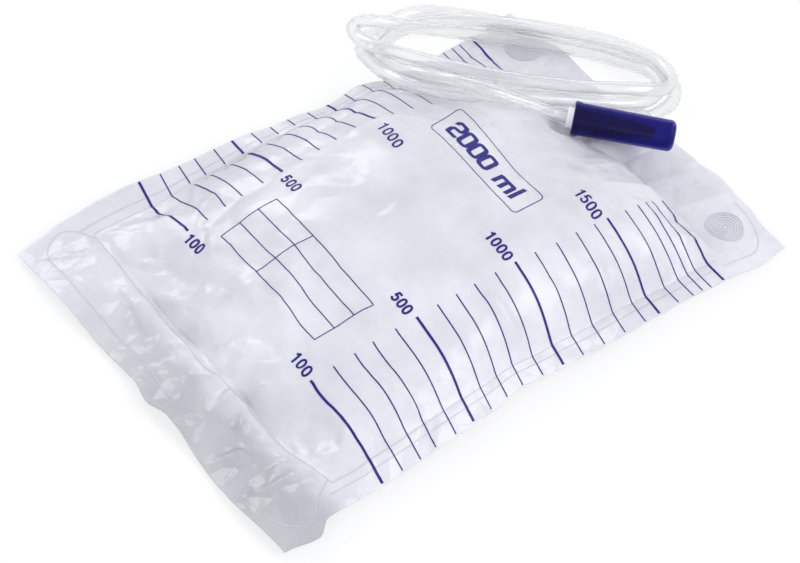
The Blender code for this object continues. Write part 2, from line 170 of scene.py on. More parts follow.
# Crumples in the film's shape: the grid of both films, spacing and seed of the large and the small
# facets, where they start, their depths, where they fade, and what the films keep clear of
GRID_COLUMNS = 177
GRID_ROWS = 265
LARGE_FACETS = (0.015, 3)
SMALL_FACETS = (0.007, 8)
FACET_START = (-0.13, -0.18)
FACET_SCATTER = 0.42
STRIP_CRUMPLE = 0.0014
STRIP_LEAST = 0.4
EDGE_CRUMPLE = 0.0007
EDGE_CREASE = 0.5
POUCH_CRUMPLE = 0.0004
LOWER_LEFT_CRUMPLE = 0.0018
TOP_CRUMPLE = 0.0006
TOP_CRUMPLE_START = 0.070
TOP_CRUMPLE_RUN = 0.040
SMALL_CRUMPLE = 0.35
SIDE_FADE = 0.006
SIDE_FADE_START = 0.004
END_FADE = 0.005
LOWER_LEFT_START = 0.010
LOWER_LEFT_RUN = 0.13
LOWER_LEFT_SLANT = 0.35
FLOOR_SPARE = 0.00005
SLEEVE_HALF_WIDTH = 0.007
SLEEVE_SPARE = 0.002
STEEPEST_SLOPE = 2.5
RAY_REACH = 0.05

# Colours at the two ends of each material's clouds, and where a noise reaches these ends
NOISE_ENDS = (0.3, 0.7)
FRONT_FILM_COLOURS = ((0.78, 0.78, 0.835), (0.84, 0.84, 0.885))
BACK_FILM_COLOURS = ((0.77, 0.77, 0.825), (0.83, 0.83, 0.88))
VALVE_COLOURS = ((0.72, 0.73, 0.80), (0.80, 0.81, 0.87))
WELD_COLOURS = ((0.45, 0.46, 0.52), (0.53, 0.54, 0.59))
SLEEVE_COLOURS = ((0.80, 0.81, 0.86), (0.88, 0.89, 0.93))
TUBE_COLOURS = ((0.915, 0.92, 0.93), (0.95, 0.953, 0.96))
# Painted shade at the clear tube's rims: the colour it greys towards where its surface turns away from the
# view
TUBE_RIM_PAINTED_SHADE = (0.70, 0.705, 0.725)
CAP_COLOURS = ((0.060, 0.050, 0.36), (0.078, 0.068, 0.42))
CONNECTOR_COLOURS = ((0.86, 0.865, 0.885), (0.010, 0.004, 0.045))
INK_COLOURS = ((0.016, 0.012, 0.150), (0.028, 0.022, 0.22))
FLOOR_COLOUR = (0.90, 0.90, 0.91)
FLOOR_GLOW = 0.72
WHITE = (1, 1, 1, 1)
PLASTIC_IOR = 1.48
ROUGHNESS_SPAN = 0.08

# Light of the room, and the lamps: name, place, aim, size, watts
ROOM_COLOUR = (0.94, 0.955, 1.0)
ROOM_STRENGTH = 0.74
LAMPS = (
    ("key", (0.70, 0.50, 0.80), (0, 0, 0), (0.8, 0.5), 5.6),
    ("side", (-0.8, 0.1, 0.55), (0, 0, 0), (0.5, 0.3), 2.5),
    ("fill", (0.45, -0.90, 0.50), (0.02, -0.02, 0), (0.8, 0.5), 3.0),
)

HALF_WIDTH = FILM_WIDTH / 2
HALF_LENGTH = FILM_LENGTH / 2
POUCH_HALF_WIDTH = HALF_WIDTH - SIDE_FLANGE
POUCH_HALF_LENGTH = HALF_LENGTH - END_STRIP
INLET_OUTER_END = HALF_LENGTH + INLET_PROUD
INLET_INNER_END = INLET_OUTER_END - INLET_LENGTH
VALVE_START = INLET_INNER_END + VALVE_OVERLAP
VALVE_END = VALVE_START - VALVE_LENGTH
TUBE_START = INLET_OUTER_END - TUBE_DEPTH
CAP_MOUTH = (CAP_MOUTH_PLACE[0], HALF_LENGTH + CAP_MOUTH_PLACE[1], CAP_MOUTH_PLACE[2])
TUBE_RADIUS = TUBE_DIAMETER / 2
INLET_BORE_RADIUS = TUBE_RADIUS + PIECE_GAP
INLET_RADIUS = INLET_BORE_RADIUS + INLET_WALL
CAP_BORE_RADIUS = CAP_MOUTH_RADIUS - CAP_WALL


def ease(value):
    value = min(max(value, 0.0), 1.0)
    return value * value * (3 - 2 * value)


def turned(x, y, degrees):
    """A place in plan turned about the origin."""
    turn = math.radians(degrees)
    return x * math.cos(turn) - y * math.sin(turn), x * math.sin(turn) + y * math.cos(turn)


def smooth_between(values, place):
    """Value of a smooth curve through a list at a place counted in list steps."""
    index = min(int(place), len(values) - 2)
    share = place - index
    near = [np.asarray(values[min(max(index + k, 0), len(values) - 1)], float) for k in (-1, 0, 1, 2)]
    before, here, there, after = near
    bend = 2 * before - 5 * here + 4 * there - after
    twist = 3 * (here - there) + after - before
    return here + 0.5 * share * (there - before + share * (bend + share * twist))


# Camera, set up first

def make_camera():
    data = bpy.data.cameras.new("camera")
    data.lens = CAMERA_LENS
    data.sensor_width = 36.0
    data.clip_start = 0.05
    data.clip_end = 20.0
    place = Matrix.Translation(LOOK_AT)
    for angle, axis in ((CAMERA_AZIMUTH, "Z"), (90 - CAMERA_ELEVATION, "X"), (-CAMERA_ROLL, "Z")):
        place = place @ Matrix.Rotation(math.radians(angle), 4, axis)
    place = place @ Matrix.Translation((0, 0, CAMERA_DISTANCE))
    bpy.context.scene.camera = add_object(data, place=place)


# Materials

class Look:
    """The nodes of one material or of the world, with short ways to add and join them."""

    def __init__(self, owner):
        owner.use_nodes = True
        self.owner = owner
        self.nodes = owner.node_tree.nodes
        self.shader = self.nodes.get("Principled BSDF")

    def feed(self, node, inputs):
        """Sets or joins a node's inputs, given by name or number."""
        for name, value in inputs.items():
            if isinstance(value, bpy.types.NodeSocket):
                self.owner.node_tree.links.new(value, node.inputs[name])
            else:
                node.inputs[name].default_value = value

    def add(self, kind, inputs=None, **settings):
        node = self.nodes.new(kind)
        for name, value in settings.items():
            setattr(node, name, value)
        self.feed(node, inputs or {})
        return node

    def calc(self, operation, *values):
        """A number worked out from one or two numbers or sockets."""
        return self.add("ShaderNodeMath", dict(enumerate(values)), operation=operation).outputs["Value"]

    def place(self):
        """The object's own coordinates."""
        return self.add("ShaderNodeTexCoord").outputs["Object"]

    def axes(self):
        return self.add("ShaderNodeSeparateXYZ", {"Vector": self.place()}).outputs

    def noise(self, scale, detail):
        """Noise in cycles a metre."""
        inputs = {"Vector": self.place(), "Scale": scale, "Detail": detail}
        return self.add("ShaderNodeTexNoise", inputs).outputs["Fac"]

    def folds(self, cells, shift):
        """Flat facets with straight sharp folds between them, as in crushed film."""
        moved = self.add("ShaderNodeMapping", {"Vector": self.place(), "Location": (shift, shift, shift)})
        return self.add("ShaderNodeTexVoronoi", {"Vector": moved.outputs["Vector"], "Scale": cells},
                        voronoi_dimensions="2D", feature="DISTANCE_TO_EDGE").outputs["Distance"]

    def ramp(self, source, colours, ends=NOISE_ENDS):
        """The first colour where the source is at its low end, the second at its high end."""
        node = self.add("ShaderNodeValToRGB", {"Fac": source})
        for stop, place, colour in zip(node.color_ramp.elements, ends, colours):
            stop.position = place
            stop.color = (*colour, 1)
        return node.outputs["Color"]

    def span(self, source, to=(0.0, 1.0), ends=NOISE_ENDS, way="LINEAR"):
        """A number that runs between two values while the source runs between its ends."""
        inputs = dict(zip(("Value", "From Min", "From Max", "To Min", "To Max"), (source, *ends, *to)))
        return self.add("ShaderNodeMapRange", inputs, interpolation_type=way).outputs["Result"]

    def mix(self, share, first, second, way="MIX"):
        return self.add("ShaderNodeMix", {"Factor": share, "A": first, "B": second}, data_type="RGBA",
                        blend_type=way).outputs["Result"]

    def bump(self, height, strength=1.0, distance=1.0):
        made = self.add("ShaderNodeBump", {"Height": height, "Strength": strength, "Distance": distance})
        self.feed(self.shader, {"Normal": made.outputs["Normal"]})

    def let_light_through(self, share):
        """A clear piece lets most light through to what lies under it, so its shadow is pale."""
        shadow = self.add("ShaderNodeLightPath").outputs["Is Shadow Ray"]
        held = self.calc("SUBTRACT", 1.0, self.calc("MULTIPLY", shadow, share))
        self.feed(self.shader, {"Alpha": held})

    def white_rays(self):
        """1 for the rays that see the white background: camera, glossy and transmission rays."""
        path = self.add("ShaderNodeLightPath").outputs
        seen = self.calc("MAXIMUM", path["Is Camera Ray"], path["Is Glossy Ray"])
        return self.calc("MAXIMUM", seen, path["Is Transmission Ray"])

    def show(self, output, share, first, second):
        """Shows the first shader, with the second in its place by a share."""
        mixed = self.add("ShaderNodeMixShader", {"Fac": share, 1: first, 2: second})
        self.feed(self.nodes[output], {"Surface": mixed.outputs["Shader"]})


def fold_mask(look):
    """Near 0 in the smooth middle of the bag, rising to 1 towards its welds."""
    parts = look.axes()
    most = FOLD_MIDDLE
    for axis, middle, half, fade in SMOOTH_PATCH:
        away = look.calc("ABSOLUTE", look.calc("SUBTRACT", parts[axis], middle))
        share = look.calc("DIVIDE", look.calc("SUBTRACT", away, half), fade)
        most = look.calc("MAXIMUM", most, share)
    return look.calc("MINIMUM", most, 1.0)


def strip_painted_shade_and_fold_mask(look):
    """A mask: 1 in the wide bottom strip, where the two films lie together, fading at its weld and
    towards its left end. It lays a painted shade on the strip's colour, as if the strip were turned from the
    light, and deepens its folds."""
    parts = look.axes()
    wander = look.calc("MULTIPLY", look.noise(55, 2), STRIP_PAINTED_SHADE_WANDER)
    along = look.calc("ADD", parts["Y"], wander)
    along = look.span(along, ends=STRIP_PAINTED_SHADE_ALONG, way="SMOOTHSTEP")
    across = look.span(parts["X"], ends=STRIP_PAINTED_SHADE_ACROSS, way="SMOOTHSTEP")
    return look.calc("MULTIPLY", along, across)


def film_material(name, colours, alphas):
    """Milky film: cloudy in patches, crushed into small facets near its welds, with a soft gloss and a
    painted shade on its bottom strip.
    """
    look = Look(bpy.data.materials.new(name))
    cloud = look.noise(34, 4)
    # mask of the painted shade on the bottom strip, which also deepens the strip's folds
    strip = strip_painted_shade_and_fold_mask(look)
    large = look.calc("MULTIPLY", look.folds(FOLD_CELLS, 0.0), FOLD_DEPTH)
    small = look.folds(SMALL_FOLD_CELLS, SMALL_FOLD_SHIFT)
    small = look.calc("MULTIPLY", small, FOLD_DEPTH * SMALL_FOLDS)
    height = look.calc("MULTIPLY", look.calc("ADD", large, small), fold_mask(look))
    deeper = look.calc("ADD", look.calc("MULTIPLY", strip, STRIP_FOLDS), 1.0)
    height = look.calc("MULTIPLY", height, deeper)
    grain = look.calc("MULTIPLY", look.noise(900, 2), FILM_GRAIN)
    look.bump(look.calc("ADD", height, grain))
    look.feed(look.shader, {
        # the cloudy film colour, darkened on the bottom strip by a painted shade
        "Base Color": look.mix(strip, look.ramp(cloud, colours), (*STRIP_PAINTED_SHADE, 1), "MULTIPLY"),
        "Roughness": look.span(cloud, FILM_ROUGHNESS),
        "Alpha": look.span(cloud, alphas),
        "IOR": PLASTIC_IOR,
    })
    return look.owner


def plastic_material(name, colours, roughness, transmission=0.0, ior=PLASTIC_IOR, clouds=60, specular=0.5,
                     through=0.0):
    """Moulded plastic with faint clouds and a finely pebbled skin."""
    look = Look(bpy.data.materials.new(name))
    cloud = look.noise(clouds, 3)
    look.bump(look.noise(1400, 2), strength=0.06, distance=0.0002)
    look.feed(look.shader, {
        "Base Color": look.ramp(cloud, colours),
        "Roughness": look.span(cloud, (roughness, roughness + ROUGHNESS_SPAN)),
        "Transmission Weight": transmission,
        "IOR": ior,
        "Specular IOR Level": specular,
    })
    if through:
        look.let_light_through(through)
    return look.owner


def tube_material():
    """Clear soft tube, its colour greyed at its rims by a painted shade, where the light would pass the wall
    lengthwise.
    """
    look = Look(bpy.data.materials.new("clear_tube"))
    cloud = look.noise(45, 2)
    facing = look.add("ShaderNodeLayerWeight", {"Blend": 0.5}).outputs["Facing"]
    # painted shade: the tube's colour greys towards its rims, set by how far the surface faces away from the
    # view
    painted_rim_shade = look.span(facing, ends=(0.62, 0.98))
    look.feed(look.shader, {
        "Base Color": look.mix(painted_rim_shade, look.ramp(cloud, TUBE_COLOURS), (*TUBE_RIM_PAINTED_SHADE, 1)),
        "Roughness": look.span(cloud, (0.12, 0.18)),
        "Transmission Weight": 0.90,
        "IOR": 1.33,
        "Coat Weight": 0.3,
        "Coat Roughness": 0.08,
    })
    look.let_light_through(0.85)
    return look.owner


def connector_material():
    """Clear socket that holds the tube, and a navy nozzle inside the cap."""
    look = Look(bpy.data.materials.new("connector_blue"))
    cloud = look.noise(300, 2)
    along = look.calc("MULTIPLY", look.axes()["X"], 250.0)
    along = look.calc("ADD", along, look.calc("MULTIPLY", cloud, 0.3))
    look.feed(look.shader, {
        "Base Color": look.ramp(along, CONNECTOR_COLOURS, (0.05, 0.30)),
        "Roughness": look.span(cloud, (0.22, 0.32)),
        "Specular IOR Level": 0.06,
    })
    return look.owner


def ink_material():
    """Navy ink, a little uneven where it wetted the film."""
    look = Look(bpy.data.materials.new("navy_ink"))
    patch = look.noise(420, 3)
    look.feed(look.shader, {
        "Base Color": look.ramp(patch, INK_COLOURS),
        "Roughness": look.span(patch, (0.40, 0.55)),
        "Specular IOR Level": 0.2,
    })
    return look.owner


# Mesh helpers

def add_object(data, finish=None, place=Matrix.Identity(4)):
    """An object with the name of its mesh, camera or lamp."""
    made = bpy.data.objects.new(data.name, data)
    made.matrix_world = place
    if finish:
        data.materials.append(finish)
    bpy.context.scene.collection.objects.link(made)
    return made


def tree_of(made):
    """The object's surface, to cast rays at."""
    bpy.context.view_layer.update()
    return BVHTree.FromObject(made, bpy.context.evaluated_depsgraph_get())


def finish_mesh(name, work, angle=35):
    bmesh.ops.recalc_face_normals(work, faces=work.faces)
    mesh = bpy.data.meshes.new(name)
    work.to_mesh(mesh)
    work.free()
    mesh.shade_smooth()
    mesh.set_sharp_from_angle(angle=math.radians(angle))
    return mesh


def circle(sides):
    """Evenly spread points of a circle of radius 1."""
    angles = [2 * math.pi * k / sides for k in range(sides)]
    return [(math.cos(angle), math.sin(angle)) for angle in angles]


def bridge(work, rings, closed=True):
    """Faces from each ring of points to the next, and back to the first if closed. A ring may be a point."""
    for first, second in zip(rings, rings[1:] + rings[:1] if closed else rings[1:]):
        count = max(len(first), len(second))
        for k in range(count):
            pairs = ((first, k), (first, k + 1), (second, k + 1), (second, k))
            corners = list(dict.fromkeys(ring[place % len(ring)] for ring, place in pairs))
            if len(corners) > 2:
                work.faces.new(corners)


def turned_mesh(name, profile, sides=56):
    """Solid turned about +X from a closed outline of (place along, radius) points."""
    work = bmesh.new()
    rings = []
    for along, radius in profile:
        spots = circle(sides) if radius else [(0, 0)]
        rings.append([work.verts.new((along, radius * across, radius * up)) for across, up in spots])
    bridge(work, rings)
    return finish_mesh(name, work, 30)


def arc(centre, radius, start, end, steps):
    """Points of a quarter round in an outline, angles in degrees."""
    points = []
    for step in range(steps + 1):
        angle = math.radians(start + (end - start) * step / steps)
        points.append((centre[0] + radius * math.cos(angle), centre[1] + radius * math.sin(angle)))
    return points


# Tube

def cap_place():
    return Matrix.Translation(CAP_MOUTH) @ Matrix.Rotation(math.radians(CAP_HEADING), 4, "Z")


def coil_point(turns):
    angle = 2 * math.pi * turns
    along = math.cos(angle) * smooth_between(COIL_REACHES, 2 * turns) * MM
    beside = math.sin(angle) * smooth_between(COIL_WIDTHS, 8 * turns) * MM
    x, y = turned(along, beside, COIL_HEADING)
    height = smooth_between(COIL_HEIGHTS, 8 * turns) * MM
    return COIL_PLACE[0] + x, HALF_LENGTH + COIL_PLACE[1] + y, height


def tube_route():
    route = [(0, TUBE_START, INLET_AXIS_HEIGHT)]
    route += [(x * MM, HALF_LENGTH + y * MM, z * MM) for x, y, z in START_LEG]
    steps = round((COIL_END - COIL_START) * COIL_POINTS_PER_TURN)
    route += [coil_point(COIL_START + (COIL_END - COIL_START) * step / steps) for step in range(steps + 1)]
    end = SOCKET_DEPTH - SOCKET_OUTSIDE - PIECE_GAP
    for along, beside, above in END_LEG + ((end / MM, 0, 0),):
        route.append(tuple(cap_place() @ Vector((along * MM, beside * MM, above * MM))))
    return route


def even_points(route, count):
    fine = np.array([smooth_between(route, place) for place in np.linspace(0, len(route) - 1, 2400)])
    run = np.concatenate(([0], np.cumsum(np.linalg.norm(np.diff(fine, axis=0), axis=1))))
    even = np.linspace(0, run[-1], count)
    return np.stack([np.interp(even, run, fine[:, axis]) for axis in range(3)], axis=1)


def tube_frames(points):
    """Two square directions at each point of a line, turned as little as possible along it."""
    heads = np.gradient(points, axis=0)
    heads /= np.linalg.norm(heads, axis=1)[:, None]
    side = np.cross(heads[0], (0, 0, 1))
    side /= np.linalg.norm(side)
    sides = []
    for head in heads:
        side = side - head * side.dot(head)
        side /= np.linalg.norm(side)
        sides.append(side)
    sides = np.array(sides)
    return sides, np.cross(heads, sides)


def tube_mesh(name, points, outer, inner, sides=28):
    """Pipe along a line, with its outer wall, its bore and flat ends, as one closed mesh."""
    across, over = tube_frames(points)
    work = bmesh.new()
    loops = []
    for radius, order in ((outer, range(len(points))), (inner, reversed(range(len(points))))):
        for i in order:
            ring = [points[i] + radius * (across[i] * x + over[i] * y) for x, y in circle(sides)]
            loops.append([work.verts.new(place) for place in ring])
    bridge(work, loops)
    return finish_mesh(name, work, 50)


# Films

def read_lie(table, share):
    """Shift of an edge at a share (-1 to 1) of its half length, smooth between the table's points."""
    place = share * table[-1][0]
    for (start, low), (end, high) in zip(table, table[1:]):
        if place <= end:
            return (low + (high - low) * ease((place - start) / (end - start))) * MM
    return table[-1][1] * MM


def film_plan(s, t):
    """Where the flat film's point (s, t) lies in plan."""
    across = s / HALF_WIDTH
    along = t / HALF_LENGTH
    shift = read_lie(RIGHT_EDGE_LIE, along) if s > 0 else read_lie(LEFT_EDGE_LIE, along)
    x = s + shift * abs(across) ** 5
    edge = read_lie(TOP_EDGE_LIE if t > 0 else BOTTOM_EDGE_LIE, across)
    return x, t + edge * abs(along) ** 3


def back_height(s, t):
    """Underside of the back film: flat on the table in the middle, lifted at the side welds."""
    side = abs(s)
    share = t / HALF_LENGTH
    lying = 1 - ease((t - EDGE_PRESS_START) / COIL_PRESS_RUN) if s < 0 else 1
    seam = read_lie(LEFT_SEAM_LIFT if s < 0 else RIGHT_SEAM_LIFT, share)
    edge = (LEFT_EDGE_LIFT if s < 0 else RIGHT_EDGE_LIFT) * (1 - share ** 4)
    if side < POUCH_HALF_WIDTH:
        height = seam * ease((side - POUCH_HALF_WIDTH + SEAM_LIFT_REACH) / SEAM_LIFT_REACH)
    else:
        height = seam + (edge - seam) * (side - POUCH_HALF_WIDTH) / SIDE_FLANGE
    strip = ease((-t - POUCH_HALF_LENGTH + STRIP_WAVE_BAND) / STRIP_WAVE_BAND)
    wave = 0.5 - 0.5 * math.cos(2 * math.pi * (s + HALF_WIDTH) / STRIP_WAVE_PITCH)
    return height * lying + STRIP_WAVE * strip * wave


def cap_bed(x, y):
    """Highest a film may lie under the cap, also along the way that the cap pulls off."""
    along, beside = turned(x - CAP_MOUTH[0], y - CAP_MOUTH[1], -CAP_HEADING)
    beyond = max(-SOCKET_OUTSIDE - along, along - CAP_LENGTH - CAP_TRAVEL, 0.0)
    bed = CAP_MOUTH[2] - CAP_MOUTH_RADIUS - FILM_THICKNESS - PIECE_GAP
    return bed + (beside * beside + beyond * beyond) / (2 * CAP_MOUTH_RADIUS)


def fall(share, power, fullness):
    """How a pillow falls off from 1 at its crown to 0 at its weld."""
    return max(0.0, 1 - min(share, 1.0) ** power) ** fullness


def pillow_height(s, t):
    """Height of the pillow over its welds."""
    across = fall(abs(s) / POUCH_HALF_WIDTH, *(LEFT_FALL if s < 0 else RIGHT_FALL))
    if t > CROWN_PLACE:
        along = fall((t - CROWN_PLACE) / (POUCH_HALF_LENGTH - CROWN_PLACE), *TOP_FALL)
    else:
        share = (CROWN_PLACE - t) / (POUCH_HALF_LENGTH + CROWN_PLACE)
        along = fall(share, *BOTTOM_FALL) * (1 - BOTTOM_LEAN * share)
    pressed = COIL_PRESS * ease((t - COIL_PRESS_START) / COIL_PRESS_RUN)
    pressed *= ease((COIL_PRESS_SIDE - s) / COIL_PRESS_FADE)
    return POUCH_RISE * across * along * (1 - pressed)


def front_height(s, t, welded):
    """Underside of the front film over its welded height: the pillow, or the tent over the valve."""
    tent_top = INLET_AXIS_HEIGHT + INLET_RADIUS + PIECE_GAP + VALVE_WALL + PIECE_GAP
    tent_run = ease((t - VALVE_END) / (INLET_INNER_END - VALVE_GRIP_SPARE - VALVE_END))
    tent = tent_top * max(0.0, 1 - (s / INLET_TENT_WIDTH) ** 2) ** 2 * tent_run
    return max(welded + pillow_height(s, t), tent)


def crumple_surface(spacing, seed):
    """Facets between scattered points with random heights from -1 to 1, as crushed film has."""
    spread = random.Random(seed)
    cells_x, cells_y = [int(-2 * start / spacing) + 1 for start in FACET_START]
    points = []
    for row in range(cells_y + 1):
        for column in range(cells_x + 1):
            x, y = [start + (cell + spread.uniform(-FACET_SCATTER, FACET_SCATTER)) * spacing
                    for start, cell in zip(FACET_START, (column, row))]
            points.append((x, y, spread.uniform(-1, 1)))
    faces = []
    wide = cells_x + 1
    for row in range(cells_y):
        for column in range(cells_x):
            a = row * wide + column
            b, c, d = a + 1, a + 1 + wide, a + wide
            faces += ((a, b, c), (a, c, d)) if spread.random() < 0.5 else ((a, b, d), (b, c, d))
    return BVHTree.FromPolygons([Vector(p) for p in points], faces)


def crumple_at(tree, x, y):
    hit = tree.ray_cast(Vector((x, y, 5)), Vector((0, 0, -1)))[0]
    return hit.z if hit else 0.0


CREASE_REACH = 4

# Creases seen in the film, in millimetres: start (x, y), end (x, y), height of the ridge, half its width
CREASES = (
    (62, -70, 90, -66, 1.6, 3.5), (78, -50, 90, -47, 1.2, 3.0), (60, -9, 84, -7, 1.4, 3.0),
    (58, -96, 88, -98, 1.0, 3.0), (66, -30, 88, -27, 1.0, 3.0), (68, 20, 90, 24, 0.9, 3.0),
    (70, 48, 90, 46, 0.9, 3.0), (56, 74, 88, 84, 1.1, 3.5), (50, 92, 84, 104, 1.2, 3.5),
    (-88, -112, -58, -84, 1.3, 4.0), (-70, -118, -48, -96, 1.5, 3.5), (-40, -120, -22, -98, 1.8, 4.0),
    (-12, -121, 0, -96, 2.0, 4.0), (6, -118, 30, -96, 1.8, 4.0), (26, -120, 36, -92, 1.6, 3.5),
    (48, -119, 44, -90, 1.5, 4.0), (-58, -76, -28, -94, 1.0, 3.5), (-20, -88, 14, -82, 1.2, 3.5),
    (-90, -60, -62, -66, 1.3, 3.0), (-92, -34, -66, -30, 1.4, 3.0), (-88, -8, -62, -12, 1.1, 3.0),
    (-90, 18, -64, 14, 1.1, 3.0), (-86, 44, -60, 50, 1.0, 3.0), (-84, 66, -58, 74, 1.0, 3.0),
    (-60, 112, -40, 84, 1.2, 3.5), (-36, 114, -26, 88, 1.1, 3.0), (24, 114, 20, 88, 1.0, 3.5),
    (44, 112, 36, 84, 1.2, 3.5), (62, 110, 48, 88, 1.0, 3.0), (-6, -30, 4, -18, 0.7, 3.0),
    (-24, -14, -10, -20, 0.6, 3.0), (8, -50, 18, -36, 0.6, 3.0), (-52, -122, -40, -146, 1.3, 3.0),
    (-14, -124, -22, -148, 1.5, 3.5), (22, -122, 30, -148, 1.4, 3.5), (52, -122, 46, -146, 1.5, 3.5),
    (74, -122, 70, -144, 1.1, 3.0), (-78, -122, -86, -140, 1.1, 3.0), (30, 120, 40, 150, 1.2, 3.5),
    (52, 120, 58, 150, 1.0, 3.0), (80, 112, 92, 126, 0.9, 3.0), (-30, 120, -26, 148, 1.0, 3.0),
    (-50, 120, -58, 148, 0.9, 3.0), (-69, -8, -70, 26, -2.4, 6.0), (-53, 0, -53, 25, 1.6, 5.0),
    (73, 98, 79, 113, 2.4, 4.0), (62, 103, 66, 114, -2.2, 4.0), (60, -10, 84, -8, 1.4, 4.0),
    (30, -118, 20, -121, 2.8, 2.5), (30, -118, 51, -118, 2.4, 2.5), (30, -118, 40, -128, 2.8, 2.5),
    (30, -118, 31, -107, 2.6, 2.5), (10, -121, 15, -98, 2.6, 4.0), (-17, -120, -11, -84, 2.8, 5.0),
    (-6, -119, 8, -86, -3.0, 6.0), (-45, -118, -37, -134, 2.4, 3.0), (48, -134, 50, -142, 2.4, 2.5),
    (34, -146, 44, -133, -1.6, 5.0), (60, -147, 52, -132, 2.4, 4.0), (66, -149, 70, -134, -1.6, 4.0),
)


def crease_height(x, y):
    """Height of the creases at a point, sharp along each one's line and fading at its ends."""
    total = 0.0
    for x0, y0, x1, y1, height, width in CREASES:
        px, py = x / MM - x0, y / MM - y0
        dx, dy = x1 - x0, y1 - y0
        length = math.hypot(dx, dy)
        along = (px * dx + py * dy) / length
        if along < -width or along > length + width:
            continue
        beside = abs(px * dy - py * dx) / length
        if beside > CREASE_REACH * width:
            continue
        fade = ease((along + width) / (2 * width)) * ease((length + width - along) / (2 * width))
        total += height * fade * math.exp(-beside / width)
    return total * MM


def crumpled(s, t, coarse, fine):
    """Plan place of the films' point (s, t), and both undersides with their crumples and creases."""
    x, y = film_plan(s, t)
    low = back_height(s, t)
    facets = crumple_at(coarse, x, y)
    small = crumple_at(fine, x, y)
    crease = crease_height(x, y)
    in_pouch = ease((POUCH_HALF_WIDTH - abs(s)) / SIDE_FADE) * ease((POUCH_HALF_LENGTH - abs(t)) / END_FADE)
    in_strip = ease((abs(t) - POUCH_HALF_LENGTH) / END_FADE)
    at_edge = ease((abs(s) - POUCH_HALF_WIDTH + SIDE_FADE_START) / SIDE_FADE)
    lower_left = ease((LOWER_LEFT_START - t - LOWER_LEFT_SLANT * s) / LOWER_LEFT_RUN)
    strip_share = STRIP_LEAST + (1 - STRIP_LEAST) * lower_left
    low += in_strip * (STRIP_CRUMPLE * (1 + facets) * strip_share + crease)
    low += at_edge * (1 - in_strip) * (EDGE_CRUMPLE * (1 + facets) + EDGE_CREASE * crease)
    high = front_height(s, t, low + FILM_THICKNESS + PIECE_GAP)
    rough = POUCH_CRUMPLE + LOWER_LEFT_CRUMPLE * lower_left
    rough += TOP_CRUMPLE * ease((t - TOP_CRUMPLE_START) / TOP_CRUMPLE_RUN)
    high += in_pouch * (rough * facets + SMALL_CRUMPLE * rough * small + crease)
    return x, y, low, high


def film_heights(coarse, fine, tube_tree):
    """Plan places and undersides of both films on one fine grid, clear of the tube, the cap and the floor."""
    columns = np.linspace(-HALF_WIDTH, HALF_WIDTH, GRID_COLUMNS)
    rows = np.linspace(-HALF_LENGTH, HALF_LENGTH, GRID_ROWS)
    back = np.zeros((len(rows), len(columns), 3))
    front = np.zeros_like(back)
    for i, t in enumerate(rows):
        for j, s in enumerate(columns):
            x, y, low, high = crumpled(s, t, coarse, fine)
            high = min(high, cap_bed(x, y))
            in_sleeve = abs(x) < SLEEVE_HALF_WIDTH and y < INLET_OUTER_END + SLEEVE_SPARE
            hit = None if in_sleeve else tube_tree.ray_cast(Vector((x, y, -RAY_REACH)), Vector((0, 0, 1)))[0]
            if hit:
                room = hit.z - PIECE_GAP - FILM_THICKNESS
                high = min(high, room)
                low = min(low, room - FILM_THICKNESS - PIECE_GAP)
            low = max(low, FLOOR_SPARE)
            high = max(high, low + FILM_THICKNESS + PIECE_GAP)
            back[i, j] = (x, y, low)
            front[i, j] = (x, y, high)
    return back, front


def sheet_mesh(name, grid):
    """A film as one closed sheet over a grid of underside points."""
    rows, wide = grid.shape[:2]
    rise_y, rise_x = np.gradient(grid[:, :, 2])
    run_x = np.gradient(grid[:, :, 0], axis=1)
    run_y = np.gradient(grid[:, :, 1], axis=0)
    slope = np.minimum(np.sqrt(1 + (rise_x / run_x) ** 2 + (rise_y / run_y) ** 2), STEEPEST_SLOPE)
    upper = grid.copy()
    upper[:, :, 2] += FILM_THICKNESS * slope
    points = np.concatenate([grid.reshape(-1, 3), upper.reshape(-1, 3)])
    count = rows * wide
    faces = []
    for i in range(rows - 1):
        for j in range(wide - 1):
            a = i * wide + j
            b, c, d = a + 1, a + 1 + wide, a + wide
            faces.append((a, d, c, b))
            faces.append((count + a, count + b, count + c, count + d))
    index = np.arange(count).reshape(rows, wide)
    border = [*index[0], *index[1:, -1], *index[-1, -2::-1], *index[-2:0:-1, 0]]
    faces += [(a, b, count + b, count + a) for a, b in zip(border, border[1:] + border[:1])]
    mesh = bpy.data.meshes.new(name)
    mesh.from_pydata(points.tolist(), [], faces)
    mesh.validate()
    mesh.shade_smooth()
    mesh.set_sharp_from_angle(angle=math.radians(50))
    return mesh


# Marks that lie on the front film, in millimetres. Heights and widths are in metres
PRINT_SKEW = math.tan(math.radians(-4.03))
PRINT_FOOT = 0.00002
PRINT_TOP = 0.00012
LINE_STEP = 0.0009
STROKE_STEP = 0.0003
THICK_WIDTH = 0.00125
THIN_WIDTH = 0.00058
FRAME_WIDTH = 0.00042
TABLE_ROW_WIDTH = 0.00045
SCALE_STROKE = 0.00108
LABEL_STROKE = 0.0024


def skewed(x, y):
    """Print place in plan: the print runs a little off square."""
    return x * MM, (y + x * PRINT_SKEW) * MM


def over_film(tree, x, y):
    """Point and normal of the front film's upper side over a plan place, or two Nones beside it."""
    hit, normal = tree.ray_cast(Vector((x, y, 4 * RAY_REACH)), Vector((0, 0, -1)))[:2]
    if hit is not None and normal.z < 0:
        normal = -normal
    return hit, normal


def dense(points, step):
    out = [points[0]]
    for (x0, y0), (x1, y1) in zip(points, points[1:]):
        count = max(1, int(math.hypot(x1 - x0, y1 - y0) / step))
        out += [(x0 + (x1 - x0) * k / count, y0 + (y1 - y0) * k / count) for k in range(1, count + 1)]
    return out


